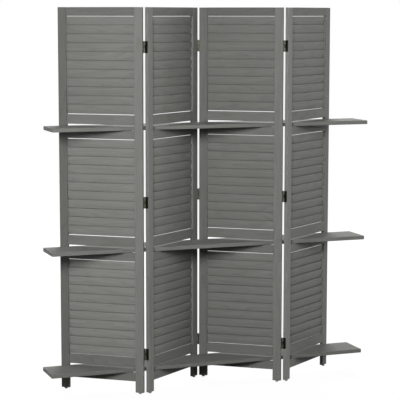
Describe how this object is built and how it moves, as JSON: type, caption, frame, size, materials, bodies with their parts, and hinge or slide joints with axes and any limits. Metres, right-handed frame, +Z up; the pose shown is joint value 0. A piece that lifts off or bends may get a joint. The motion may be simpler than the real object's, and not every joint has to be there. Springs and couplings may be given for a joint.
{
  "type": "folding screen with shelves",
  "caption": "Free-standing louvred folding screen in painted wood, hinged in a zigzag, with long shelf boards pushed through slots in all its panels.",
  "frame": {"origin": "on the floor, in the middle of the footprint's bounding box", "axes": "+X along the shelf boards, to the right seen from the front; +Y to the back; +Z up"},
  "size_m": [1.5066, 0.2446, 1.7],
  "materials": {
    "grey_paint": "satin paint",
    "hinge_metal": "dark bronze"
  },
  "bodies": {
    "panel_2": {"panel_2_stile_left": "grey_paint", "panel_2_stile_right": "grey_paint", "panel_2_top_rail": "grey_paint", "panel_2_louvres_top": "grey_paint", "panel_2_cross_member_top": "grey_paint", "panel_2_louvres_middle": "grey_paint", "panel_2_cross_member_middle": "grey_paint", "panel_2_louvres_bottom": "grey_paint", "panel_2_cross_member_bottom": "grey_paint", "hinge_12_top_leaf": "hinge_metal", "hinge_12_middle_leaf": "hinge_metal", "hinge_12_bottom_leaf": "hinge_metal", "hinge_23_top_pin_leaf": "hinge_metal", "hinge_23_middle_pin_leaf": "hinge_metal", "hinge_23_bottom_pin_leaf": "hinge_metal"},
    "panel_1": {"panel_1_stile_left": "grey_paint", "panel_1_stile_right": "grey_paint", "panel_1_top_rail": "grey_paint", "panel_1_louvres_top": "grey_paint", "panel_1_cross_member_top": "grey_paint", "panel_1_louvres_middle": "grey_paint", "panel_1_cross_member_middle": "grey_paint", "panel_1_louvres_bottom": "grey_paint", "panel_1_cross_member_bottom": "grey_paint", "hinge_12_top_pin_leaf": "hinge_metal", "hinge_12_middle_pin_leaf": "hinge_metal", "hinge_12_bottom_pin_leaf": "hinge_metal"},
    "panel_3": {"panel_3_stile_left": "grey_paint", "panel_3_stile_right": "grey_paint", "panel_3_top_rail": "grey_paint", "panel_3_louvres_top": "grey_paint", "panel_3_cross_member_top": "grey_paint", "panel_3_louvres_middle": "grey_paint", "panel_3_cross_member_middle": "grey_paint", "panel_3_louvres_bottom": "grey_paint", "panel_3_cross_member_bottom": "grey_paint", "hinge_23_top_leaf": "hinge_metal", "hinge_23_middle_leaf": "hinge_metal", "hinge_23_bottom_leaf": "hinge_metal", "hinge_34_top_pin_leaf": "hinge_metal", "hinge_34_middle_pin_leaf": "hinge_metal", "hinge_34_bottom_pin_leaf": "hinge_metal"},
    "panel_4": {"panel_4_stile_left": "grey_paint", "panel_4_stile_right": "grey_paint", "panel_4_top_rail": "grey_paint", "panel_4_louvres_top": "grey_paint", "panel_4_cross_member_top": "grey_paint", "panel_4_louvres_middle": "grey_paint", "panel_4_cross_member_middle": "grey_paint", "panel_4_louvres_bottom": "grey_paint", "panel_4_cross_member_bottom": "grey_paint", "hinge_34_top_leaf": "hinge_metal", "hinge_34_middle_leaf": "hinge_metal", "hinge_34_bottom_leaf": "hinge_metal"},
    "shelf_middle": {"shelf_middle": "grey_paint"},
    "shelf_top": {"shelf_top": "grey_paint"},
    "shelf_bottom": {"shelf_bottom": "grey_paint"}
  },
  "joints": [
    {"name": "fold_12", "type": "hinge", "parent": "panel_2", "child": "panel_1", "pos_m": [-0.33549, -0.10864, 0.85], "axis": [0, 0, 1], "range_deg": [-106, 5.6]},
    {"name": "fold_23", "type": "hinge", "parent": "panel_2", "child": "panel_3", "pos_m": [-0.0067, 0.10864, 0.85], "axis": [0, 0, 1], "range_deg": [-106, 5.6]},
    {"name": "fold_34", "type": "hinge", "parent": "panel_3", "child": "panel_4", "pos_m": [0.32209, -0.10864, 0.85], "axis": [0, 0, 1], "range_deg": [-5.6, 106]},
    {"name": "shelf_turn", "type": "hinge", "parent": "panel_2", "child": "shelf_middle", "pos_m": [-0.17109, 0, 0.65], "axis": [0, 0, 1], "range_deg": [-53, 2.8]},
    {"name": "shelf_top_slide", "type": "slide", "parent": "shelf_middle", "child": "shelf_top", "axis": [1, 0, 0], "range_m": [-1.3, 1.3]},
    {"name": "shelf_bottom_slide", "type": "slide", "parent": "shelf_middle", "child": "shelf_bottom", "axis": [1, 0, 0], "range_m": [-1.3, 1.3]}
  ],
  "couplings": [
    {"joint": "fold_23", "follows": "fold_12", "ratio": 1},
    {"joint": "fold_34", "follows": "fold_12", "ratio": -1},
    {"joint": "shelf_turn", "follows": "fold_12", "ratio": 0.5}
  ]
}
